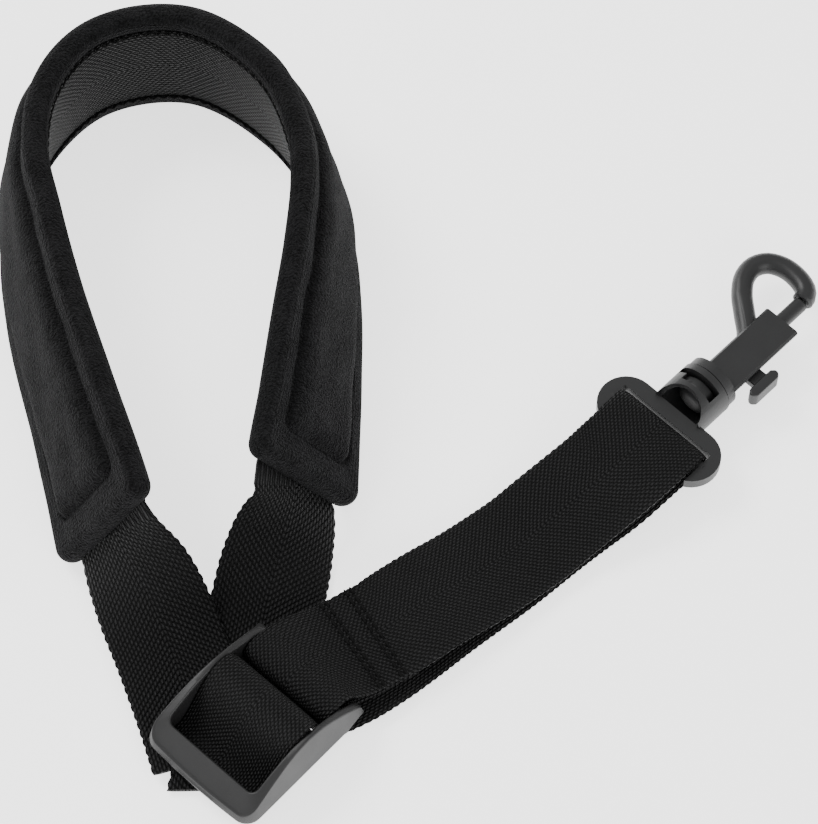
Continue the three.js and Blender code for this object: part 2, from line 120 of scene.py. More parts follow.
table_paint, _, _ = material_of("table_paint", Base_Color=(0.97, 0.97, 0.97, 1), Roughness=0.9,
                                Specular_IOR_Level=0.05, Emission_Color=(1, 1, 1, 1),
                                Emission_Strength=1.9)
TABLE_HALF, TABLE_HIGH = 1.6, -0.0004
table_mesh = bpy.data.meshes.new("table")
table_mesh.from_pydata([(x * TABLE_HALF, y * TABLE_HALF, TABLE_HIGH)
                        for x, y in ((-1, -1), (1, -1), (1, 1), (-1, 1))], [], [(0, 1, 2, 3)])
put("table", table_mesh, table_paint)

world = bpy.data.worlds.new("studio")
world.use_nodes = True
sky = world.node_tree.nodes["Background"].inputs
sky["Color"].default_value, sky["Strength"].default_value = (1, 1, 1, 1), 0.75
bpy.context.scene.world = world


def lamp(name, place, size, power):
    """A square soft lamp turned towards the origin."""
    light = bpy.data.lights.new(name, "AREA")
    light.shape = "SQUARE"
    light.size, light.energy = size, power
    obj = bpy.data.objects.new(name, light)
    obj.location = place
    obj.rotation_euler = (-Vector(place)).to_track_quat("-Z", "Y").to_euler()
    bpy.context.scene.collection.objects.link(obj)


lamp("key_left", (-0.8, 0.55, 1.0), 0.6, 14)
lamp("front_fill", (0.7, -1.1, 0.6), 0.8, 8)

# --- Neck pad -----------------------------------------------------------------------------------
# A foam-filled band covered in black plush cloth, rolled at its rims and sewn down all round a
# raised cushion. It stands on its lower rim, upright at the back and leaning in at the sides.
PAD_WIDTH, PAD_RIM, PAD_CROWN, PAD_BORDER, PAD_CORNER = 46.9, 7.4, 10.6, 8.3, 5.0
CUSHION_END, CUSHION_CORNER = 11, 3.5            # cushion short of each end of the pad, its corners
RIM_RADIUS, SILL, POCKET = 3.1, 0.02, 1.5        # rolled rim; outermost edge; webbing's pocket
RIB_PITCH = 1.25
PAD_ROUTE = [   # foot line on the table and lean of the band
    (-101.2, -55.4, 54.5), (-111, -12, 62), (-119, 18, 65), (-124, 47, 69), (-124, 71, 76),
    (-116, 95, 84), (-99, 113, 89), (-72, 117, 90), (-46, 100, 88), (-30, 77, 80),
    (-24, 60, 74), (-21, 38, 68), (-20, 13, 62), (-20, -14, 57), (-20, -36, 52)]


def spline(points, step):
    """Equal steps of a centripetal Catmull-Rom curve: places, directions, station numbers."""
    p = np.array(points, float)
    ends = np.vstack([2 * p[0] - p[1], p, 2 * p[-1] - p[-2]])
    fine, station = [], []
    for i in range(len(p) - 1):
        a, b, c, d = ends[i:i + 4]
        t1 = np.linalg.norm(b - a) ** 0.5
        t2 = t1 + np.linalg.norm(c - b) ** 0.5
        t3 = t2 + np.linalg.norm(d - c) ** 0.5
        u = np.linspace(t1, t2, 60, endpoint=i == len(p) - 2)[:, None]
        ab = a + (b - a) * u / t1
        bc = b + (c - b) * (u - t1) / (t2 - t1)
        cd = c + (d - c) * (u - t2) / (t3 - t2)
        abc = ab + (bc - ab) * u / t2
        bcd = bc + (cd - bc) * (u - t1) / (t3 - t1)
        fine.append(abc + (bcd - abc) * (u - t1) / (t2 - t1))
        station.append(i + (u[:, 0] - t1) / (t2 - t1))
    fine, station = np.vstack(fine), np.concatenate(station)
    run = np.concatenate([[0], np.cumsum(np.linalg.norm(np.diff(fine, axis=0), axis=1))])
    at = np.linspace(0, run[-1], max(2, int(math.ceil(run[-1] / step)) + 1))
    place = np.stack([np.interp(at, run, fine[:, k]) for k in range(3)], 1)
    way = np.gradient(place, axis=0)
    way /= np.linalg.norm(way, axis=1, keepdims=True)
    return place, way, np.interp(at, run, station), at


def eased(values, station):
    """Values given at the stations, blended smoothly between them."""
    v = np.array(values, float)
    i = np.clip(station.astype(int), 0, len(v) - 2)
    f = station - i
    before, after = v[np.maximum(i - 1, 0)], v[np.minimum(i + 2, len(v) - 1)]
    m1, m2 = (v[i + 1] - before) / 2, (after - v[i]) / 2
    return ((2 * f**3 - 3 * f**2 + 1) * v[i] + (f**3 - 2 * f**2 + f) * m1
            + (3 * f**2 - 2 * f**3) * v[i + 1] + (f**3 - f**2) * m2)


def leaning(way, lean):
    """Across and face directions of a band that leans up on its right by so many degrees."""
    k = np.radians(lean)[:, None]
    side = np.stack([way[:, 1], -way[:, 0], 0 * way[:, 0]], 1)
    side /= np.linalg.norm(side, axis=1, keepdims=True)
    rise = np.cross(side, way)
    return side * np.cos(k) + rise * np.sin(k), rise * np.cos(k) - side * np.sin(k)


def rounded_inset(u, a, length, width, corner):
    """How far a point of the flat pad lies inside its round-cornered outline."""
    x = np.abs(u - length / 2) - length / 2 + corner
    y = np.abs(a - width / 2) - width / 2 + corner
    outside = np.hypot(np.maximum(x, 0), np.maximum(y, 0)) + np.minimum(np.maximum(x, y), 0)
    return corner - outside


def grid_faces(rows, cols, start=0, flip=False):
    """Quads of a grid of points, row by row."""
    i, j = np.meshgrid(np.arange(rows - 1), np.arange(cols - 1), indexing="ij")
    a = start + i * cols + j
    quad = np.stack([a, a + 1, a + 1 + cols, a + cols], -1).reshape(-1, 4)
    return quad[:, ::-1] if flip else quad


def cleaned(mesh, merge=None, flats=None, outward=True):
    """The mesh with near doubles merged, flats joined into one face each and faces turned out."""
    bm = bmesh.new()
    bm.from_mesh(mesh)
    if merge:
        bmesh.ops.remove_doubles(bm, verts=bm.verts, dist=merge)
    if flats:
        bmesh.ops.dissolve_limit(bm, angle_limit=math.radians(flats), verts=bm.verts, edges=bm.edges)
    if outward:
        bmesh.ops.recalc_face_normals(bm, faces=bm.faces)
    bm.to_mesh(mesh)
    bm.free()
    mesh.shade_smooth()
    return mesh


pad_place, pad_way, pad_station, pad_run = spline([(x, y, 0) for x, y, _ in PAD_ROUTE], 0.8)
pad_across, pad_face = leaning(pad_way, eased([r[2] for r in PAD_ROUTE], pad_station))
PAD_LENGTH = pad_run[-1]


def pad_point(run, across, out):
    """Point of the pad at a run along it, a height up the band and a distance out from it."""
    def along(table):
        return np.stack([np.interp(run, pad_run, table[:, k]) for k in range(3)], -1)
    p = along(pad_place) + across[..., None] * along(pad_across) + out[..., None] * along(pad_face)
    return p * MM + SHIFT


def smooth(x):
    """A soft step from 0 to 1."""
    x = np.clip(x, 0, 1)
    return x * x * (3 - 2 * x)


def pad_heights(u, a):
    """Outer and inner face of the cover, with its rolled rim, sewn groove and crowned cushion."""
    inset = rounded_inset(u, a, PAD_LENGTH, PAD_WIDTH, PAD_CORNER)
    roll = np.sqrt(np.clip(1 - (1 - np.minimum(inset / RIM_RADIUS, 1)) ** 2, 0, 1))
    middle_plane = PAD_RIM * 0.46
    dent = rounded_inset(u - CUSHION_END, a - PAD_BORDER, PAD_LENGTH - 2 * CUSHION_END,
                         PAD_WIDTH - 2 * PAD_BORDER, CUSHION_CORNER)
    wander = 0.35 * np.sin(u * 0.43) + 0.25 * np.sin(u * 0.17 + 2)
    groove = -1.15 * np.exp(-((dent + wander * 0.4) / 0.75) ** 2)
    cushion = np.clip(1 - (1 - np.clip(dent / 7.5, 0, 1)) ** 2.6, 0, 1) * (PAD_CROWN - PAD_RIM)
    slack = 0.25 * np.sin(u * 0.21 + 1.7 * np.sin(a * 0.12)) * np.sin(a * 0.27 + u * 0.05)
    border_puff = 0.35 * np.sin(np.pi * np.clip(inset / PAD_BORDER, 0, 1)) - 0.2
    outer = (PAD_RIM - middle_plane) * roll + groove + cushion + border_puff * (dent < 0)
    outer = np.where(inset < SILL, 0, outer) + slack * smooth(inset / 6)
    sunk = POCKET * smooth((inset - 5.2) / 0.9)
    inner = (middle_plane + 1.1) * roll - sunk
    return middle_plane + outer, middle_plane - inner, inset, dent


def pad_cover():
    """The pad's closed cover, with its distances from the outline and from the cushion's seam."""
    c = PAD_CORNER
    bend = c * (1 - np.cos(np.linspace(0, np.pi / 2, 14)))
    u = np.unique(np.concatenate([bend, np.arange(c, PAD_LENGTH - c, 0.8), PAD_LENGTH - bend]))
    s = (1 - np.cos(np.linspace(0, np.pi, 21))) / 2
    s = np.unique(np.concatenate([s * 0.16, np.linspace(0.08, 0.92, 62), 1 - s * 0.16]))
    end = np.minimum(u, PAD_LENGTH - u)
    cut = c - np.sqrt(np.clip(c * c - (c - np.minimum(end, c)) ** 2, 0, c * c))
    a = cut[:, None] + s[None] * (PAD_WIDTH - 2 * cut[:, None])
    uu = np.broadcast_to(u[:, None], a.shape)
    outer, inner, inset, dent = pad_heights(uu, a)
    rim = inset < SILL
    level = (outer + inner) / 2
    points = np.concatenate([pad_point(uu, a, np.where(rim, level, outer)).reshape(-1, 3),
                             pad_point(uu, a, np.where(rim, level, inner)).reshape(-1, 3)])
    rows, cols = a.shape
    faces = np.vstack([grid_faces(rows, cols), grid_faces(rows, cols, rows * cols, True)])
    mesh = bpy.data.meshes.new("pad_cover")
    mesh.from_pydata(points.tolist(), [], faces.tolist())
    for key, values in (("edge_mm", inset), ("dent_mm", dent)):
        layer = mesh.attributes.new(key, "FLOAT", "POINT")
        layer.data.foreach_set("value", np.tile(values.ravel(), 2).astype(np.float32))
    return cleaned(mesh, merge=5e-6)


def feed(tree, made, inputs):
    """Set or link a node's inputs, given by socket name, or by number as i0, i1 and so on."""
    for key, value in inputs.items():
        numbered = key[0] == "i" and key[1:].isdigit()
        socket = made.inputs[int(key[1:]) if numbered else key.replace("_", " ")]
        if isinstance(value, bpy.types.NodeSocket):
            tree.links.new(value, socket)
        else:
            socket.default_value = value
    return made


def node(tree, kind, settings=None, **inputs):
    """A new node with its settings and inputs filled in."""
    made = tree.nodes.new(kind)
    for key, value in (settings or {}).items():
        setattr(made, key, value)
    return feed(tree, made, inputs)


def maths(tree, operation, a, b=0.0):
    """The result of one maths node on two values."""
    return node(tree, "ShaderNodeMath", {"operation": operation}, i0=a, i1=b).outputs[0]


def group_of(name, inputs, outputs):
    """An empty shader group with float or vector sockets."""
    tree = bpy.data.node_groups.new(name, "ShaderNodeTree")
    for key, value in inputs.items():
        kind = "NodeSocketVector" if value is None else "NodeSocketFloat"
        socket = tree.interface.new_socket(key, in_out="INPUT", socket_type=kind)
        if value is not None:
            socket.default_value = value
    for key, kind in outputs.items():
        tree.interface.new_socket(key, in_out="OUTPUT", socket_type=kind)
    return tree, tree.nodes.new("NodeGroupInput").outputs, tree.nodes.new("NodeGroupOutput").inputs


def use(tree, group, **inputs):
    """The outputs of a group put into a material."""
    made = tree.nodes.new("ShaderNodeGroup")
    made.node_tree = group
    return feed(tree, made, inputs).outputs


def in_millimetres(tree, place):
    """A place in metres, scaled so that a noise of scale one has grains about a millimetre wide."""
    return node(tree, "ShaderNodeVectorMath", {"operation": "SCALE"}, Vector=place,
                Scale=1000.0).outputs[0]


def nap_group():
    """Short brushed fibres: height of the pile and a patchy shade, per millimetre of surface."""
    tree, given, out = group_of("cloth_nap", {"Place": None, "Fibre": 1.0, "Depth": 1.0},
                                {"Height": "NodeSocketFloat", "Shade": "NodeSocketFloat"})
    mm = in_millimetres(tree, given["Place"])
    fine = node(tree, "ShaderNodeTexNoise", None, Vector=mm, Scale=given["Fibre"], Detail=2.0,
                Roughness=0.55)
    broad = node(tree, "ShaderNodeTexNoise", None, Vector=mm, Scale=0.16, Detail=3.0)
    height = maths(tree, "MULTIPLY", fine.outputs["Fac"], given["Depth"])
    shade = maths(tree, "ADD", maths(tree, "MULTIPLY", fine.outputs["Fac"], 0.65),
                  maths(tree, "MULTIPLY", broad.outputs["Fac"], 0.35))
    tree.links.new(height, out["Height"])
    tree.links.new(shade, out["Shade"])
    return tree


cloth_nap = nap_group()


def ramp(tree, factor, dark, light, low=0.3, high=0.7):
    """A colour that runs from dark to light as a factor runs from low to high."""
    made = node(tree, "ShaderNodeValToRGB", None, Fac=factor)
    first, last = made.color_ramp.elements[0], made.color_ramp.elements[1]
    first.position, last.position = low, high
    first.color, last.color = (*dark, 1), (*light, 1)
    return made.outputs["Color"]


def plush():
    """Brushed black cloth, with faint ribs along the border outside the cushion."""
    mat, tree, shader = material_of("black_plush", Roughness=0.95, Specular_IOR_Level=0.1,
                                    Sheen_Weight=0.08, Sheen_Roughness=0.5)
    shader.inputs["Sheen Tint"].default_value = (0.5, 0.5, 0.52, 1)
    place = node(tree, "ShaderNodeTexCoord").outputs["Object"]
    nap = use(tree, cloth_nap, Place=place, Fibre=1.35, Depth=1.0)
    edge = node(tree, "ShaderNodeAttribute", {"attribute_name": "edge_mm"}).outputs["Fac"]
    dent = node(tree, "ShaderNodeAttribute", {"attribute_name": "dent_mm"}).outputs["Fac"]
    rib = maths(tree, "SINE", maths(tree, "MULTIPLY", edge, 2 * math.pi / RIB_PITCH))
    on_border = node(tree, "ShaderNodeMapRange", None, Value=dent, i1=-0.6, i2=-1.8).outputs[0]
    ribs = maths(tree, "MULTIPLY", rib, on_border)
    height = maths(tree, "ADD", nap["Height"], maths(tree, "MULTIPLY", ribs, 0.05))
    bump = node(tree, "ShaderNodeBump", None, Strength=1.0, Distance=0.0022, Height=height)
    tree.links.new(bump.outputs[0], shader.inputs["Normal"])
    # The ribs also lighten the colour on their crests and darken it in their troughs: a faint painted
    # highlight and shade; the nap adds a random tone.
    shade = maths(tree, "ADD", nap["Shade"], maths(tree, "MULTIPLY", ribs, 0.02))
    colour = ramp(tree, shade, (0.0009, 0.0009, 0.0009), (0.0128, 0.0128, 0.0133), 0.38, 0.62)
    tree.links.new(colour, shader.inputs["Base Color"])
    return mat


pad = put("neck_pad", pad_cover(), plush())
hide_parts("pad_outer_cover", "pad_foam_core", "pad_inner_lining", "left_end_binding",
            "right_end_binding")
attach(pad, "neck_loop")

# --- Neck webbing -------------------------------------------------------------------------------
# One length of black herringbone webbing with scalloped selvedges, sewn inside the pad. Its two
# tails leave the pad's ends, turn flat and cross on the table, the left one on top.
STRAP_WIDTH, STRAP_THICK, WEB_SINK = 34.0, 1.6, 0.45
CUT_SKEW, CUT_REACH = 0.2, 18.0                  # slant of a cut end, and how far back it fades
LEFT_LEG = [
    (-58.6, -119, 2.8, 0), (-62.5, -107, 2.8, 0), (-66.8, -95, 2.8, 0), (-73, -79, 3.4, 2),
    (-80, -64.5, 10.5, 27)]
RIGHT_LEG = [
    (-35.3, -40.5, 15.5, 50), (-38.5, -51, 9, 30), (-42.2, -65, 2.6, 6), (-45.2, -82, 1.1, 0),
    (-48.6, -101, 1, 0), (-53.4, -128, 1, 0)]


def web_centre(k):
    """Centre of the webbing where it is sewn inside the pad, at a row of the pad's frames."""
    return pad_place[k] + pad_across[k] * PAD_WIDTH / 2 - pad_face[k] * WEB_SINK


def ribbon(name, centre, across, face, along, width, scallop, pitch, skew=0.0):
    """Closed webbing band from its frames; the UV map holds millimetres across and along.
    A skew slants the cut at its far end."""
    n = len(centre)
    width = np.broadcast_to(np.asarray(width, float), (n,))
    wave = scallop * np.abs(np.sin(np.pi * along / pitch)) - scallop * 0.5
    half = width / 2 + wave
    s = np.linspace(-1, 1, 23)
    edge_s = np.sign(s) * (1 - (1 - np.abs(s)) ** 1.35)
    thin = STRAP_THICK / 2 * np.clip(1 - (np.abs(edge_s) ** 14) * 0.62, 0, 1)
    ring_a = np.concatenate([edge_s, edge_s[::-1]])
    ring_b = np.concatenate([thin, -thin[::-1]])
    m = len(ring_a)
    points = (centre[:, None] + across[:, None] * (ring_a[None, :, None] * half[:, None, None])
              + face[:, None] * ring_b[None, :, None])
    near_end = smooth(1 - (along[-1] - along) / CUT_REACH)[:, None] * skew
    onward = np.cross(face, across)
    sense = np.sign(np.sum(onward * np.gradient(centre, axis=0), 1))
    points += (onward[:, None] * (near_end * ring_a[None] * half[:, None])[..., None]
               * sense[:, None, None])
    i, j = np.meshgrid(np.arange(n - 1), np.arange(m), indexing="ij")
    a, b = i * m + j, i * m + (j + 1) % m
    faces = np.stack([a, b, b + m, a + m], -1).reshape(-1, 4).tolist()
    k = np.arange(len(s) - 1)
    end = np.stack([k, k + 1, m - 2 - k, m - 1 - k], -1)
    faces += end.tolist() + (end + (n - 1) * m).tolist()
    mesh = bpy.data.meshes.new(name)
    mesh.from_pydata((points.reshape(-1, 3) * MM + SHIFT).tolist(), [], faces)
    uv = mesh.uv_layers.new(name="weave")
    loops = np.empty(len(mesh.loops), np.int32)
    mesh.loops.foreach_get("vertex_index", loops)
    across_mm = (ring_a[None] * half[:, None]).ravel()
    along_mm = np.repeat(along, m)
    flat = np.stack([across_mm[loops], along_mm[loops]], 1)
    uv.data.foreach_set("uv", flat.ravel().astype(np.float32))
    return cleaned(mesh)


def hump_of(tree, place, fall):
    """One at the middle of a cell, falling off with the square of the place in it."""
    squared = maths(tree, "MULTIPLY", place, place)
    return maths(tree, "SUBTRACT", 1.0, maths(tree, "MULTIPLY", squared, fall))


def herringbone_group():
    """Two mirrored halves of slanting floats: height of the yarns, and how far each lies proud."""
    tree, given, out = group_of("herringbone_weave", {"Weave": None, "Column": 1.0, "Float": 1.9,
                                                      "Slant": 0.5, "Lean": 0.22, "Wander": 0.1},
                                {"Height": "NodeSocketFloat", "Proud": "NodeSocketFloat"})
    wander = node(tree, "ShaderNodeTexNoise", None, Vector=given["Weave"], Scale=0.35, Detail=2.0)
    part = node(tree, "ShaderNodeSeparateXYZ", None, Vector=given["Weave"])
    centred = maths(tree, "SUBTRACT", wander.outputs["Fac"], 0.5)
    drift = maths(tree, "MULTIPLY", centred, given["Wander"])
    x = maths(tree, "ADD", part.outputs["X"], drift)
    y = maths(tree, "ADD", part.outputs["Y"], drift)
    column = maths(tree, "DIVIDE", maths(tree, "ABSOLUTE", x), given["Column"])
    number = maths(tree, "FLOOR", column)
    in_column = maths(tree, "SUBTRACT", maths(tree, "FRACT", column), 0.5)
    shifted = maths(tree, "ADD", maths(tree, "DIVIDE", y, given["Float"]),
                    maths(tree, "MULTIPLY", number, given["Slant"]))
    # each float also leans within its own column, so the yarns lie on the slant
    leaned = maths(tree, "ADD", shifted, maths(tree, "MULTIPLY", in_column, given["Lean"]))
    in_float = maths(tree, "SUBTRACT", maths(tree, "FRACT", leaned), 0.5)
    bead = maths(tree, "MULTIPLY", hump_of(tree, in_column, 3.6), hump_of(tree, in_float, 3.8))
    proud = maths(tree, "MAXIMUM", bead)
    tree.links.new(maths(tree, "POWER", proud, 0.8), out["Height"])
    tree.links.new(proud, out["Proud"])
    return tree


herringbone = herringbone_group()


# The darker colour is painted shade, put between the yarns where they lie low; the lighter is the
# yarns' own tone.
WEB_GAP_SHADE, WEB_LIGHT = (0.0004, 0.0004, 0.0004), (0.0210, 0.0210, 0.0216)


def webbing_cloth(name, column, float_length, relief):
    """Black webbing: columns and floats in millimetres, relief in metres; painted shade, near black,
    between the yarns.
    """
    mat, tree, shader = material_of(name, Roughness=0.6, Specular_IOR_Level=0.2)
    uv = node(tree, "ShaderNodeUVMap", {"uv_map": "weave"}).outputs[0]
    weave = use(tree, herringbone, Weave=uv, Column=column, Float=float_length, Wander=0.5)
    place = node(tree, "ShaderNodeTexCoord").outputs["Object"]
    nap = use(tree, cloth_nap, Place=place, Fibre=2.6, Depth=0.25)
    height = maths(tree, "ADD", weave["Height"], nap["Height"])
    bump = node(tree, "ShaderNodeBump", None, Strength=1.0, Distance=relief, Height=height)
    tree.links.new(bump.outputs[0], shader.inputs["Normal"])
    # The colour runs from painted shade where the yarns lie low to their own tone where they lie proud;
    # the nap adds a random tone.
    shade = maths(tree, "ADD", maths(tree, "MULTIPLY", weave["Proud"], 0.75),
                  maths(tree, "MULTIPLY", nap["Shade"], 0.35))
    tree.links.new(ramp(tree, shade, WEB_GAP_SHADE, WEB_LIGHT, 0.28, 0.92), shader.inputs["Base Color"])
    rough = node(tree, "ShaderNodeMapRange", None, Value=weave["Proud"], i1=0.0, i2=1.0, i3=0.8,
                 i4=0.5)
    tree.links.new(rough.outputs[0], shader.inputs["Roughness"])
    return mat


leg_webbing = webbing_cloth("coarse_webbing", 1.05, 2.0, 0.0014)
LEG_STEP = 0.55
LEFT_LEAN, RIGHT_LEAN = 55, 52                   # lean of the webbing where it enters the pad


def leg_frames(points, leans):
    """Frames of a tail between the table and the pad."""
    place, way, station, run = spline(points, LEG_STEP)
    across, face = leaning(way, eased(leans, station))
    return place, across, face, run


def join_runs(parts):
    """Frames of a band whose stretches follow on from each other."""
    start, joined = 0.0, [[], [], [], []]
    for place, across, face, run in parts:
        for gathered, values in zip(joined, (place, across, face, run + start)):
            gathered.append(values)
        start += run[-1] + LEG_STEP
    return [np.concatenate(values) for values in joined]


left_end, right_end = web_centre(0), web_centre(-1)
left_leg = leg_frames([p[:3] for p in LEFT_LEG] + [left_end], [p[3] for p in LEFT_LEG] + [LEFT_LEAN])
right_leg = leg_frames([right_end] + [p[:3] for p in RIGHT_LEG],
                       [RIGHT_LEAN] + [p[3] for p in RIGHT_LEG])
inside = np.arange(1, len(pad_run) - 1)
inside_pad = (np.array([web_centre(k) for k in inside]), pad_across[inside], pad_face[inside],
              pad_run[inside] - pad_run[inside[0]])
web_centres, web_across, web_face, web_run = join_runs([left_leg, inside_pad, right_leg])
neck_band = ribbon("neck_webbing_band", web_centres, web_across, web_face, web_run, STRAP_WIDTH,
                   scallop=0.5, pitch=3.1, skew=CUT_SKEW)
neck_webbing = put("neck_webbing_band", neck_band, leg_webbing)
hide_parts("neck_webbing")
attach(neck_webbing, "neck_loop")

# --- Adjuster strap -----------------------------------------------------------------------------
# A finer herringbone strap sewn to the crossed tails. It climbs through the slide adjuster, runs
# flat to the hook's ring, turns round its bar and comes back on top to a sewn loop on the slider.
TAB = [(0.8, 0, 4.8, 0), (7.7, 0, 4.8, 0)]
PAYOUT = [(7.7, 0, 4.8, 0), (10.2, 0, 4.8, 0)]
HUMP = [
    (10.2, 0, 4.8, 0), (13, 0, 5.4, 0), (16, 0, 8.2, 0), (19.5, 0, 12.6, 0), (23, 0, 16.2, 0),
    (26.5, 0, 18.2, 0), (30, 0, 18.7, 0), (33.2, 0, 17.7, 0), (34.9, 0, 14.8, 0), (35.7, 0, 11.2, 0),
    (36.4, 0, 7.4, 0), (37.8, 0.1, 4.6, 3), (40.4, 0.9, 3, 11), (44, 2.5, 2.9, 19)]
LOOP = [
    (75.5, 7.8, 5.4, 16), (70, 6.1, 5.4, 16), (62, 3.8, 5.4, 14), (54, 1.1, 5.8, 10), (49, 0, 6.3, 0),
    (45, 0, 6.4, 0), (41.7, 0, 6.5, 0), (39.8, 0, 7.3, 0), (39, 0, 9.7, 0), (39.7, 0, 12.3, 0),
    (41.7, 0, 13.3, 0), (44.3, 0, 13.3, 0), (48.8, 0, 12.2, 0), (54, 1.1, 10.2, 10),
    (58.5, 2.8, 8.4, 13), (62.5, 3.9, 7.35, 14), (70, 6.1, 7.3, 16), (75.5, 7.8, 7.3, 16)]
LOWER_RUN = [
    (-20, -92.3, 3), (-11, -86, 2.4), (-3.5, -79.6, 1.3), (9, -69, 1), (27, -54.6, 1),
    (42, -41.6, 1.2), (51, -34.6, 2.1), (59, -29, 3.9)]
UPPER_RUN = [
    (1, -72.8, 6.9), (9, -67, 6.2), (18, -60.8, 5.1), (27, -54, 4.2), (36, -47, 4), (43, -41, 4.8),
    (51, -34.8, 7), (59, -29, 10)]
HOOK_AT, HOOK_HIGH, HOOK_YAW = (76.8, -12.4), 9.5, 45.5
RING_BAR, BIGHT_RADIUS, BIGHT_TAIL, BIGHT_DROP = -0.6, 3.3, 13.3, 0.35


def on_slider(stations):
    """Stations given in the slider's frame, on the table, with their headings."""
    return [(*(np.array(SLIDER_AT) + turned(s, r, SLIDER_YAW)), z, SLIDER_YAW - t)
            for s, r, z, t in stations]


def on_table(points):
    """Places on the table, each with the heading of the line through it."""
    out = []
    for i, (x, y, z) in enumerate(points):
        (ax, ay, _), (bx, by, _) = points[max(i - 1, 0)], points[min(i + 1, len(points) - 1)]
        out.append((x, y, z, math.degrees(math.atan2(by - ay, bx - ax))))
    return out


def on_hook(pairs):
    """Places (along, up) in the hook's frame, on the table, with the hook's heading."""
    return [(*(np.array(HOOK_AT) + turned(a, 0, HOOK_YAW)), HOOK_HIGH + z, HOOK_YAW)
            for a, z in pairs]


def strap_frames(stations, step=0.45):
    """Frames of the whole strap: it climbs and turns over but never leans sideways."""
    place, way, station, run = spline([s[:3] for s in stations], step)
    yaw = np.radians(eased([s[3] for s in stations], station))
    across = np.stack([np.sin(yaw), -np.cos(yaw), 0 * yaw], 1)
    face = np.cross(across, way)
    return place, across, face / np.linalg.norm(face, axis=1, keepdims=True), run


bight_arc = [(RING_BAR + BIGHT_RADIUS * math.cos(t), BIGHT_RADIUS * math.sin(t))
             for t in np.linspace(-math.pi / 2, math.pi / 2, 9)]
bight_low = on_hook([(RING_BAR - BIGHT_TAIL, -BIGHT_RADIUS + BIGHT_DROP)])
bight_high = on_hook([(RING_BAR - BIGHT_TAIL, BIGHT_RADIUS - BIGHT_DROP)])
hump_stations, loop_stations = on_slider(HUMP), on_slider(LOOP)
whole = (on_slider(TAB[:1]) + on_slider(PAYOUT) + hump_stations[1:] + on_table(LOWER_RUN) + bight_low
         + on_hook(bight_arc) + bight_high + on_table(UPPER_RUN)[::-1] + loop_stations[::-1])
strap_place, strap_across, strap_face, strap_run = strap_frames(whole)
fine_webbing = webbing_cloth("fine_webbing", 0.85, 1.6, 0.0012)


def nearest(station, first=0):
    """Row of the strap, from a row on, that passes a station."""
    return first + int(np.argmin(np.linalg.norm(strap_place[first:] - np.array(station[:3]), axis=1)))


def strap_piece(name, first, last, cad_node, body=None):
    """One stretch of the strap, on its body if it rides only one, and its length. The cloth is
    a little narrower where the slider and the sewing hold it."""
    rows, row = slice(first, last + 1), np.arange(len(strap_run))
    going = 34.2 + 0.2 * smooth((row - ring_side) / 12.0)
    coming = 34.4 - 0.8 * smooth((row - step_row + 5) / 10.0)
    wide = np.where(row > bight_row, coming, going)
    mesh = ribbon(name, strap_place[rows], strap_across[rows], strap_face[rows], strap_run[rows],
                  wide[rows], scallop=0.35, pitch=2.3)
    piece = put(name, mesh, fine_webbing)
    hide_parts(cad_node)
    if body:
        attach(piece, body)
    return piece, (strap_run[last] - strap_run[first]) * MM


row_tab, row_pay = nearest(on_slider(PAYOUT)[0]), nearest(on_slider(PAYOUT)[1])
ring_side, row_low = nearest(hump_stations[-1]), nearest(bight_low[0])
bight_row = nearest(on_hook([(RING_BAR + BIGHT_RADIUS, 0)])[0])
row_high, step_row = nearest(bight_high[0]), nearest(loop_stations[-1])
root_tab, size = strap_piece("strap_root", 0, row_tab, "adjuster_root_tab", "neck_loop")
payout, size = strap_piece("strap_payout", row_tab, row_pay, "adjuster_payout")
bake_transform(payout)
hump, size = strap_piece("strap_through_slider", row_pay, ring_side, "adjuster_hump", "slider")
lower, size = strap_piece("strap_lower_run", ring_side, row_low, "lower_run")
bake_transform(lower)
bight, size = strap_piece("strap_bight_band", row_low, row_high, "strap_bight", "ring_end")
upper, size = strap_piece("strap_upper_run", row_high, step_row, "upper_run")
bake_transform(upper)
loop, size = strap_piece("strap_sewn_loop", step_row, len(strap_run) - 1, "sewn_loop", "slider")

# --- Slide adjuster and hook --------------------------------------------------------------------
# Black mouldings with a fine matte grain and soft rounded edges: the slider frame, the swivel's
# ring and barrel, the button inside it, and the hook with its bolt and thumb tab.


def moulding_group():
    """Fine grain of moulded plastic, and a slow change of shade over it."""
    tree, given, out = group_of("moulded_grain", {"Place": None, "Grain": 3.0},
                                {"Height": "NodeSocketFloat", "Shade": "NodeSocketFloat"})
    mm = in_millimetres(tree, given["Place"])
    fine = node(tree, "ShaderNodeTexNoise", None, Vector=mm, Scale=given["Grain"], Detail=3.0)
    broad = node(tree, "ShaderNodeTexNoise", None, Vector=mm, Scale=0.12, Detail=2.0)
    tree.links.new(fine.outputs["Fac"], out["Height"])
    shade = maths(tree, "ADD", maths(tree, "MULTIPLY", fine.outputs["Fac"], 0.5),
                  maths(tree, "MULTIPLY", broad.outputs["Fac"], 0.5))
    tree.links.new(shade, out["Shade"])
    return tree


moulded_grain = moulding_group()


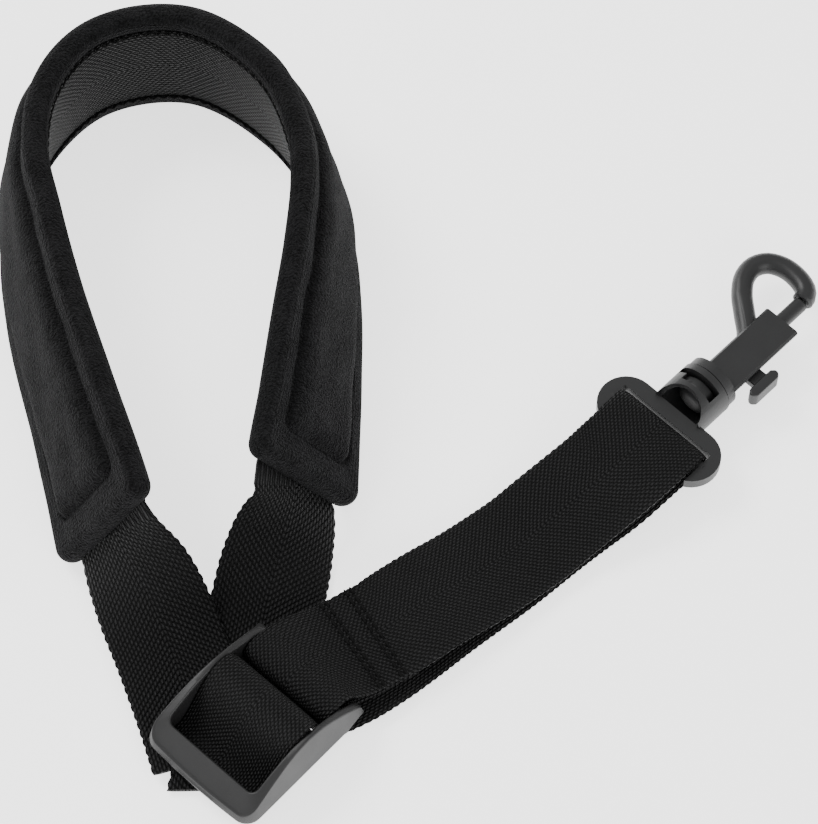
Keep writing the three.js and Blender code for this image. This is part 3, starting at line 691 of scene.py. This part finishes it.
def moulded(name, dark, light, rough, grain):
    """Black moulded plastic between two shades."""
    mat, tree, shader = material_of(name, Roughness=rough, Specular_IOR_Level=0.5)
    place = node(tree, "ShaderNodeTexCoord").outputs["Object"]
    skin = use(tree, moulded_grain, Place=place, Grain=grain)
    bump = node(tree, "ShaderNodeBump", None, Strength=0.25, Distance=0.0001, Height=skin["Height"])
    tree.links.new(bump.outputs[0], shader.inputs["Normal"])
    tree.links.new(ramp(tree, skin["Shade"], dark, light), shader.inputs["Base Color"])
    spread = node(tree, "ShaderNodeMapRange", None, Value=skin["Shade"], i3=rough + 0.08,
                  i4=rough - 0.08)
    tree.links.new(spread.outputs[0], shader.inputs["Roughness"])
    return mat


frame_plastic = moulded("matte_frame_plastic", (0.012, 0.012, 0.0123), (0.018, 0.018, 0.0184),
                        0.5, 4.0)
hook_plastic = moulded("satin_hook_plastic", (0.0085, 0.0087, 0.009), (0.0150, 0.0153, 0.0157),
                       0.45, 3.0)


def copy_of(cad_node, name):
    """A copy of a CAD mesh under a new name."""
    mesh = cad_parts[cad_node].data.copy()
    mesh.name = name
    return mesh


def rounded(piece, width, segments, sharpest):
    """Round the edges that turn by more than so many degrees."""
    soft = piece.modifiers.new("rounded", "BEVEL")
    soft.width, soft.segments, soft.limit_method = width * MM, segments, "ANGLE"
    soft.angle_limit = math.radians(sharpest)
    even = piece.modifiers.new("even", "WEIGHTED_NORMAL")
    even.keep_sharp = False


def finish_piece(piece, cad_node, body):
    """Hide the CAD solid that the piece stands for and put the piece on the body it rides."""
    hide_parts(cad_node)
    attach(piece, body)


def moulding_from(cad_node, name, radius, body):
    """A hook moulding: a copy of a CAD solid with its flats merged and its corners rounded."""
    piece = put(name, cleaned(copy_of(cad_node, name), merge=3e-6, flats=2), hook_plastic)
    rounded(piece, radius, 3, 38)
    finish_piece(piece, cad_node, body)


SLIDER_ARCH = [   # top of the slider's rails: along, up
    (0, 1.8), (0.8, 3), (2.2, 4.4), (4.5, 6.2), (7.5, 8), (11, 9.7), (15, 11.4), (19.5, 13), (24, 14),
    (29, 14.1), (34, 13.2), (38.5, 11.6), (42.5, 9.7), (46, 7.8), (48.5, 6.2), (50, 4.6)]
SLIDER_BARS = [
    [(25, 9), (31.8, 9), (33, 10.6), (32, 12.4), (29.4, 13.1), (26.4, 12.5), (24.6, 10.6)],
    [(41.6, 3.5), (44.3, 3.5), (45, 4.2), (45, 6.8), (44.2, 7.5), (41.7, 7.5), (41, 6.8), (41, 4.2)]]
SLIDER_BASE, SLIDER_FOOT, SLIDER_DRAFT, SLIDER_INNER, SLIDER_TAIL = 4.3, 21.5, 2.6, 17.3, 50
TAIL_CUT = ([43, 50], [0, 2.6])                  # underside of the rails, rising towards the tail


def u_outline(tail, half, end, corner):
    """Plan of a U: down one rail, round two corners and back up, with matching stations."""
    turn = np.linspace(0, math.pi / 2, 9)
    rail = [(tail + (end + corner - tail) * t, -half) for t in np.linspace(0, 1, 40)]
    bend = [(end + corner * (1 - math.sin(t)), -half + corner * (1 - math.cos(t))) for t in turn[1:]]
    front = [(end, -half + corner + (half - corner) * t) for t in np.linspace(0, 1, 9)[1:]]
    first = np.array(rail + bend + front)
    return np.vstack([first, (first * [1, -1])[-2::-1]])


def slider_points():
    """Sections of the frame, station by station round the U, from the inner wall over to the foot."""
    outer = u_outline(SLIDER_TAIL, SLIDER_FOOT, -0.3, 4.8)
    inner = u_outline(SLIDER_TAIL, SLIDER_INNER, 7.6, 2.4)
    outer[:, 0] += 0.9 * (outer[:, 1] / SLIDER_FOOT) ** 2 * (outer[:, 0] < 6)
    way = inner - outer
    way /= np.linalg.norm(way, axis=1, keepdims=True)
    arch = np.array(SLIDER_ARCH)
    bottom_in = np.where(np.abs(inner[:, 1]) < 16, 2.4, 0.0) + np.interp(inner[:, 0], *TAIL_CUT)
    bottom_out = np.interp(outer[:, 0], *TAIL_CUT)
    high = np.interp(outer[:, 0] + way[:, 0] * 2, arch[:, 0], arch[:, 1])
    crest = outer + way * (SLIDER_DRAFT * np.clip(high / 14, 0.35, 1))[:, None]
    top_in = np.interp(inner[:, 0], arch[:, 0], arch[:, 1])
    top_out = np.interp(crest[:, 0], arch[:, 0], arch[:, 1])
    rows = [(inner, bottom_in), (inner, top_in - 0.9), (inner - way * 0.2, top_in - 0.3),
            (inner - way * 0.8, top_in), (crest + way * 0.9, top_out + 0.1),
            (crest + way * 0.3, top_out), (crest, top_out - 0.35), (crest - way * 0.12, top_out - 0.8),
            (outer + way * 0.1, bottom_out + 1.3), (outer + way * 0.2, bottom_out + 0.5),
            (outer + way * 0.7, bottom_out)]
    return np.stack([np.column_stack([plan, z]) for plan, z in rows], 1)


def to_table(points, lift):
    """Points in the slider's own frame, in millimetres, to the model's frame in metres."""
    p = np.asarray(points, float)
    a = math.radians(SLIDER_YAW)
    x = SLIDER_AT[0] + p[..., 0] * math.cos(a) + p[..., 1] * math.sin(a)
    y = SLIDER_AT[1] + p[..., 0] * math.sin(a) - p[..., 1] * math.cos(a)
    return np.stack([x, y, p[..., 2] + lift], -1) * MM + SHIFT


def tube_faces(start, rings, count):
    """Faces of a tube of rings of points, closed at both ends."""
    faces = []
    for i in range(rings - 1):
        for j in range(count):
            a, b = start + i * count + j, start + i * count + (j + 1) % count
            faces.append([a, b, b + count, a + count])
    last = start + (rings - 1) * count
    return faces + [list(range(start, start + count)), list(range(last, last + count))]


def slider_mesh():
    """The frame as one U-shaped tube, and its two bars let into the rails."""
    section = slider_points()
    points, faces = section.reshape(-1, 3).tolist(), tube_faces(0, *section.shape[:2])
    for bar in SLIDER_BARS:
        faces += tube_faces(len(points), 2, len(bar))
        points += [(s, r, z) for r in (-SLIDER_INNER - 1, SLIDER_INNER + 1) for s, z in bar]
    mesh = bpy.data.meshes.new("slider_moulding")
    mesh.from_pydata(to_table(points, SLIDER_BASE).tolist(), [], faces)
    return cleaned(mesh, merge=1e-6)


slider_piece = put("slider_moulding", slider_mesh(), frame_plastic)
rounded(slider_piece, 0.3, 2, 50)
finish_piece(slider_piece, "slider_frame", "slider")
moulding_from("swivel_base", "swivel_moulding", 0.35, "swivel_mount")
moulding_from("swivel_head", "swivel_dome", 0.3, "hook")
moulding_from("hook_body", "hook_moulding", 0.6, "hook")
moulding_from("latch_bolt", "bolt_moulding", 0.2, "latch")
moulding_from("thumb_tab", "thumb_moulding", 1.0, "latch")

# --- Bolt spring --------------------------------------------------------------------------------
# The steel coil behind the bolt, inside the hook's block. On the real hook it closes up on its seat as
# the thumb tab draws the bolt back; here it is one fixed coil riding the hook.
spring_steel, _, _ = material_of("spring_steel", Base_Color=(0.5, 0.5, 0.52, 1), Metallic=1.0,
                                 Roughness=0.3)
coil = cleaned(copy_of("bolt_spring", "bolt_spring_coil"), merge=3e-6, outward=False)
spring = put("bolt_spring_coil", coil, spring_steel)
finish_piece(spring, "bolt_spring", "hook")
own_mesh(spring)

# --- Sewing -------------------------------------------------------------------------------------
# Black thread: a zigzag on each edge of the webbing inside the pad, one row through the crossed
# tails, and two double rows through the sewn loop. Each stitch is a short bead of thread.


def stitch_group():
    """Geometry nodes: a bead of thread at every pitch along a line, turned left and right."""
    tree = bpy.data.node_groups.new("sewn_thread", "GeometryNodeTree")
    sockets = (("Line", "NodeSocketGeometry", None), ("Pitch", "NodeSocketFloat", 0.003),
               ("Bead Length", "NodeSocketFloat", 0.0024), ("Thread Radius", "NodeSocketFloat", 0.0003),
               ("Slant", "NodeSocketFloat", 0.0), ("Thread", "NodeSocketMaterial", None))
    for key, kind, value in sockets:
        socket = tree.interface.new_socket(key, in_out="INPUT", socket_type=kind)
        if value is not None:
            socket.default_value = value
    tree.interface.new_socket("Stitches", in_out="OUTPUT", socket_type="NodeSocketGeometry")
    given = tree.nodes.new("NodeGroupInput").outputs
    curve = node(tree, "GeometryNodeMeshToCurve", None, Mesh=given["Line"])
    dots = node(tree, "GeometryNodeCurveToPoints", {"mode": "LENGTH"}, Curve=curve.outputs[0],
                Length=given["Pitch"])
    face = node(tree, "GeometryNodeInputNamedAttribute", {"data_type": "FLOAT_VECTOR"}, Name="face")
    upright = node(tree, "FunctionNodeAlignRotationToVector", {"axis": "Z"}, Vector=face.outputs[0])
    along = node(tree, "FunctionNodeAlignRotationToVector", {"axis": "X", "pivot_axis": "Z"},
                 Rotation=upright.outputs[0], Vector=dots.outputs["Tangent"])
    index = node(tree, "GeometryNodeInputIndex").outputs[0]
    even_odd = maths(tree, "MODULO", index, 2.0)
    odd = maths(tree, "SUBTRACT", maths(tree, "MULTIPLY", even_odd, 2.0), 1.0)
    turn = node(tree, "ShaderNodeCombineXYZ", None, Z=maths(tree, "MULTIPLY", odd, given["Slant"]))
    spin = node(tree, "FunctionNodeEulerToRotation", None, Euler=turn.outputs[0])
    facing = node(tree, "FunctionNodeRotateRotation", {"rotation_space": "LOCAL"},
                  Rotation=along.outputs[0], Rotate_By=spin.outputs[0])
    half = maths(tree, "MULTIPLY", given["Bead Length"], 0.5)
    size = node(tree, "ShaderNodeCombineXYZ", None, X=half, Y=given["Thread Radius"],
                Z=given["Thread Radius"])
    bead = node(tree, "GeometryNodeMeshUVSphere", None, Segments=8, Rings=6, Radius=1.0)
    placed = node(tree, "GeometryNodeInstanceOnPoints", None, Points=dots.outputs["Points"],
                  Instance=bead.outputs["Mesh"], Rotation=facing.outputs[0], Scale=size.outputs[0])
    real = node(tree, "GeometryNodeRealizeInstances", None, Geometry=placed.outputs[0])
    smoothed = node(tree, "GeometryNodeSetShadeSmooth", None, Geometry=real.outputs[0])
    painted = node(tree, "GeometryNodeSetMaterial", None, Geometry=smoothed.outputs[0],
                   Material=given["Thread"])
    tree.links.new(painted.outputs[0], tree.nodes.new("NodeGroupOutput").inputs[0])
    return tree


sewn_thread = stitch_group()
thread_cloth, _, _ = material_of("black_thread", Base_Color=(0.0012, 0.0012, 0.0012, 1),
                                 Roughness=0.85, Specular_IOR_Level=0.2)


def sewn(name, lines, body, *nodes, **inputs):
    """Lines of stitches, each a row of places and face directions, as one plain mesh."""
    points, edges, faces = [], [], []
    for place, face in lines:
        first = len(points)
        points += (place * MM + SHIFT).tolist()
        faces.append(face)
        edges += [(k, k + 1) for k in range(first, len(points) - 1)]
    guide = bpy.data.meshes.new(name + "_line")
    guide.from_pydata(points, edges, [])
    guide.attributes.new("face", "FLOAT_VECTOR", "POINT").data.foreach_set(
        "vector", np.concatenate(faces).ravel().astype(np.float32))
    carrier = put(name + "_line", guide)
    rows = carrier.modifiers.new("rows", "NODES")
    rows.node_group = sewn_thread
    wanted = {"Thread": thread_cloth, **inputs}
    for socket in sewn_thread.interface.items_tree:
        if socket.in_out == "INPUT" and socket.name.replace(" ", "_") in wanted:
            rows[socket.identifier] = wanted[socket.name.replace(" ", "_")]
    ready = carrier.evaluated_get(bpy.context.evaluated_depsgraph_get())
    mesh = bpy.data.meshes.new_from_object(ready)
    mesh.name = name
    bpy.data.objects.remove(carrier)
    piece = put(name, mesh, thread_cloth)
    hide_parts(*nodes)
    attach(piece, body)


def strap_line(row, spread=15.5, count=40):
    """A row of stitches across the adjuster strap at one of its rows of frames."""
    t = np.linspace(-spread, spread, count)[:, None]
    lift = STRAP_THICK / 2 + 0.2
    up = strap_face[row] * np.sign(strap_face[row][2])
    return strap_place[row] + strap_across[row] * t + up * lift, np.repeat(up[None], count, 0)


EDGE_LINES = (5.7, 40.3)                         # up the pad, in millimetres
ROOT_LINE = (4, 0, 4.8, 0)
LOOP_LINES = [(62.6, 3.9, 7.35, 0), (64.1, 4.3, 7.35, 0), (70.4, 6.2, 7.35, 0), (71.9, 6.7, 7.35, 0)]
rows_kept = slice(8, len(pad_run) - 8)
edge_rows = [(pad_place[rows_kept] + pad_across[rows_kept] * line
              - pad_face[rows_kept] * (WEB_SINK + 1.0), -pad_face[rows_kept]) for line in EDGE_LINES]
sewn("pad_edge_sewing", edge_rows, "neck_loop", "upper_edge_stitching", "lower_edge_stitching",
     Pitch=0.0017, Bead_Length=0.0027, Thread_Radius=0.00034, Slant=0.75)
sewn("root_sewing", [strap_line(nearest(on_slider([ROOT_LINE])[0]))], "neck_loop", "root_stitching",
     Pitch=0.003, Bead_Length=0.0026, Thread_Radius=0.00032)
loop_rows = [strap_line(nearest(station, step_row), 15.6) for station in on_slider(LOOP_LINES)]
sewn("loop_sewing", loop_rows, "slider", "loop_stitch_row_1", "loop_stitch_row_2",
     Pitch=0.0033, Bead_Length=0.0029, Thread_Radius=0.00046)
